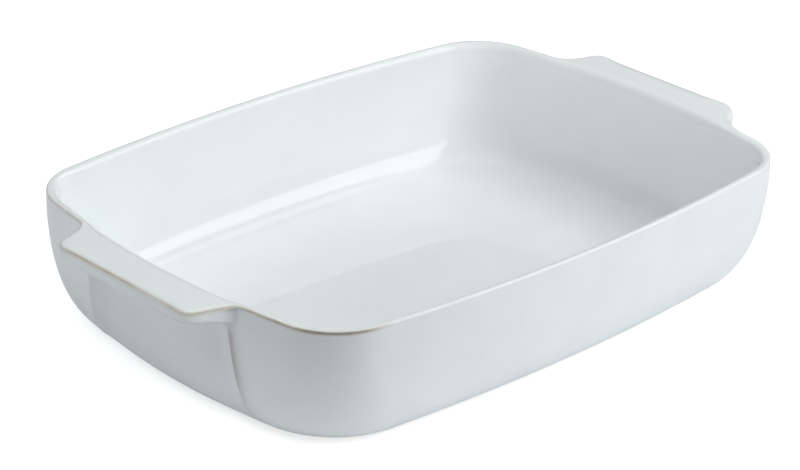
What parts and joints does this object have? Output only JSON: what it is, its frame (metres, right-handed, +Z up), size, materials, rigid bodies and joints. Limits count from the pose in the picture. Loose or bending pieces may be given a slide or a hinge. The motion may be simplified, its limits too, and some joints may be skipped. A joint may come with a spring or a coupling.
{
  "type": "rectangular baking dish",
  "caption": "Oblong stoneware baking dish with bowed walls, a round-edged rim, a coved cavity and a flat tab handle at each end, glazed white, for baking and serving.",
  "frame": {"origin": "middle of the foot ring's plane, under the centre of the dish", "axes": "+X along the length towards the right handle, +Y across the dish, +Z up out of the cavity"},
  "size_m": [0.3356, 0.2192, 0.061],
  "materials": {
    "stoneware": "bare fired clay, taupe, matt",
    "gloss_glaze": "white gloss glaze",
    "satin_glaze": "white satin glaze"
  },
  "bodies": {
    "root": {"stoneware_body": "stoneware", "left_handle": "stoneware", "right_handle": "stoneware", "inner_glaze": "gloss_glaze", "outer_glaze": "satin_glaze", "base_glaze": "satin_glaze"}
  },
  "joints": []
}
